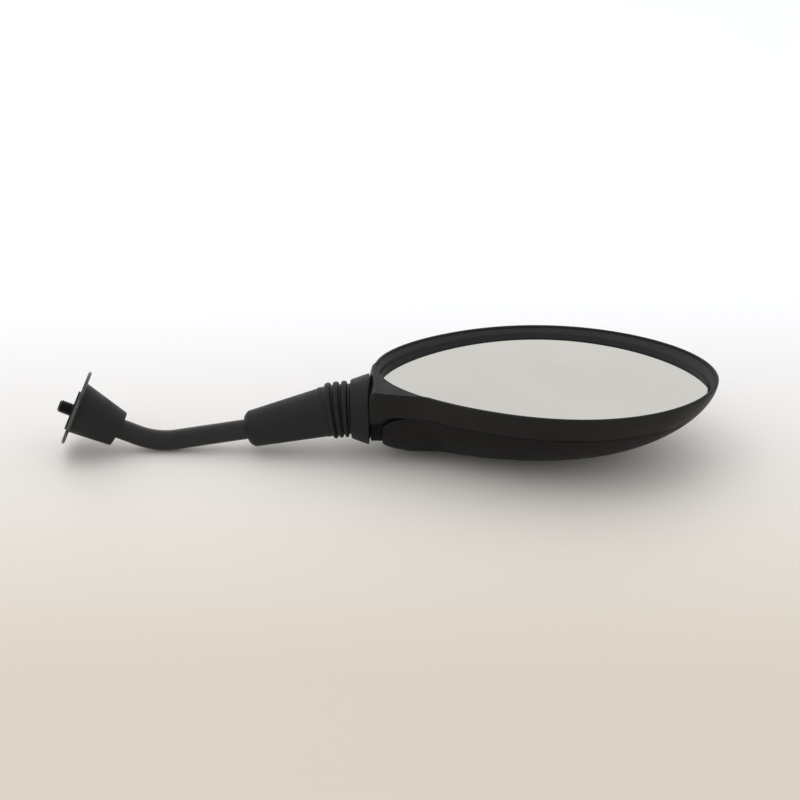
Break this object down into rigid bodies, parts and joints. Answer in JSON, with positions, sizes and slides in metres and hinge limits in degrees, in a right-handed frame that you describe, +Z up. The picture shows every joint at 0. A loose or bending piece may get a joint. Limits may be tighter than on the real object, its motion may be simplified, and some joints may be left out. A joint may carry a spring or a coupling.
{
  "type": "motorcycle mirror",
  "caption": "Motorcycle rear-view mirror: bent steel stem with a threaded stud, ball joint under a ribbed rubber boot, and an oval convex glass in a moulded housing.",
  "frame": {"origin": "centre of the mounting face, where the threaded stud leaves the seat pad, on the stud's axis", "axes": "+X along the mirror from the stud to the head's free end, +Y away from the side that faces the viewer, +Z up, out of the glass; the mirror lies on its back on the floor"},
  "size_m": [0.3898, 0.1298, 0.0487],
  "materials": {
    "black_steel": "satin",
    "zinc_steel": "satin",
    "spring_steel": "satin",
    "rubber": "matte",
    "foam": "matte",
    "bearing_plastic": "satin",
    "housing_plastic": "satin",
    "mirror": "polished"
  },
  "bodies": {
    "stem": {"stem": "black_steel", "seat_pad": "rubber", "base_flange": "black_steel", "lock_washer": "zinc_steel", "lock_nut": "zinc_steel", "base_boot": "rubber", "neck_boot": "rubber"},
    "ball": {"ball": "zinc_steel"},
    "socket": {"front_cup": "bearing_plastic", "rear_cup": "bearing_plastic", "thrust_washer": "zinc_steel", "tension_spring": "spring_steel"},
    "head": {"collar_nut": "zinc_steel", "ball_housing": "zinc_steel", "front_shell": "housing_plastic", "rear_cover": "housing_plastic", "glass_pad": "foam", "mirror_glass": "mirror", "cover_screw_neck": "zinc_steel", "cover_screw_far": "zinc_steel", "cover_screw_near": "zinc_steel"}
  },
  "joints": [
    {"name": "ball_spin", "type": "hinge", "parent": "stem", "child": "ball", "pos_m": [0.15828, 0, 0.00093], "axis": [0.9686, 0, 0.2487], "range_deg": [-90, 90], "deforming": ["neck_boot"]},
    {"name": "tilt", "type": "hinge", "parent": "ball", "child": "socket", "pos_m": [0.15828, 0, 0.00093], "axis": [0, 1, 0], "range_deg": [-34, 5], "deforming": ["neck_boot"]},
    {"name": "turn", "type": "hinge", "parent": "socket", "child": "head", "pos_m": [0.15828, 0, 0.00093], "axis": [1, 0, 0], "continuous": true, "deforming": ["neck_boot"]}
  ]
}
